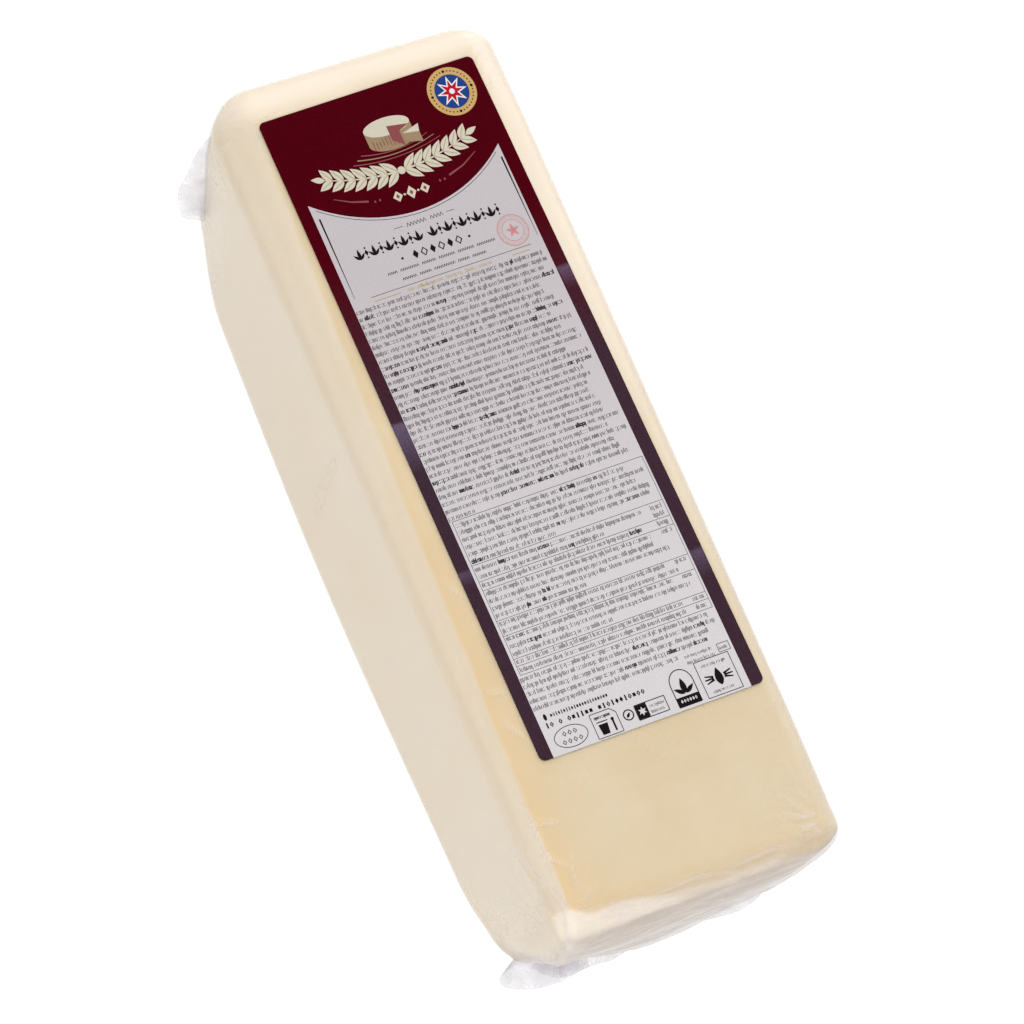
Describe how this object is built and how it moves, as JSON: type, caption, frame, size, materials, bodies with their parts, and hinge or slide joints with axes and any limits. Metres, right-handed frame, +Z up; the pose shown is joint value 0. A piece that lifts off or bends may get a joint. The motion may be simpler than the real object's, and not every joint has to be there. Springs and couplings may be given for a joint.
{
  "type": "cheddar block",
  "caption": "Long rectangular block of cheddar, vacuum packed in a clear bag with film ears at its corners and a printed label along its top face.",
  "frame": {"origin": "on the surface the block lies on, under the middle of the pack's outline", "axes": "+Z up, out of the labelled face; +Y along the block towards the label's heading; +X to the label's right"},
  "size_m": [0.139, 0.3761, 0.0957],
  "materials": {
    "cheddar": "smooth pale yellow cheese, seen through tight clear film",
    "bag_film": "clear shrink film, glossy, with fine creases",
    "label_print": "glossy printed label, dark maroon",
    "label_panel": "pale grey printed panel",
    "label_ink": "dark grey print"
  },
  "bodies": {
    "root": {"sealed_bag": "cheddar", "label": "label_print"}
  },
  "joints": []
}
